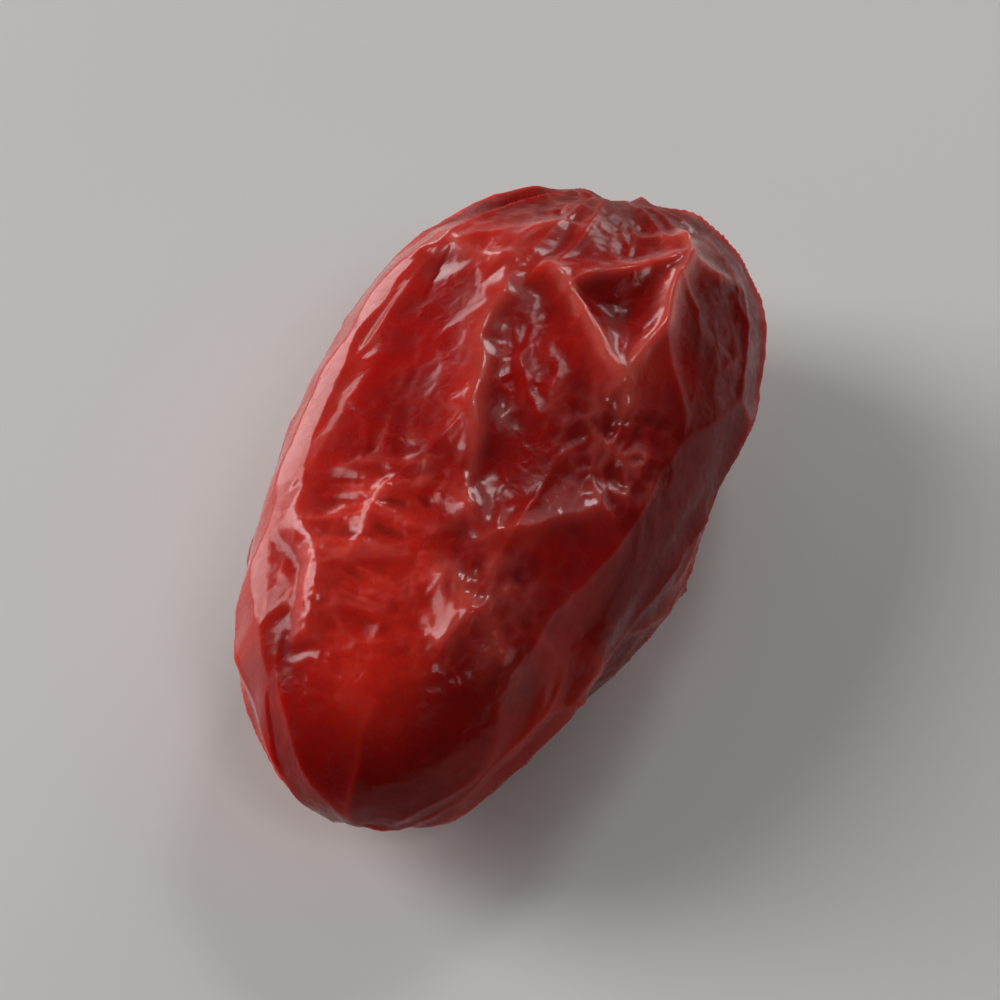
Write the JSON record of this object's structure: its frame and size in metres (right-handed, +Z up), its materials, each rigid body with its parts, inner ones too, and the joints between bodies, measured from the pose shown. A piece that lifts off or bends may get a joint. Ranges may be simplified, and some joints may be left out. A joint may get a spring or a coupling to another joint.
{
  "type": "dried cranberry",
  "caption": "Whole dried cranberry: a blunt egg of glossy deep red skin with sharp folds, a three-sided sunken pit and a puckered flower end, lying on a small flat spot.",
  "frame": {"origin": "middle of the bounding box in plan, at the flat spot that the berry lies on", "axes": "+Y along the berry to its blunt flower end, +Z up out of the wrinkled side that shows, +X to the right seen from the stem end"},
  "size_m": [0.01, 0.0164, 0.0071],
  "materials": {
    "skin": "glossy, slightly see-through dried fruit skin, deep red"
  },
  "bodies": {
    "root": {"cranberry": "skin"}
  },
  "joints": []
}
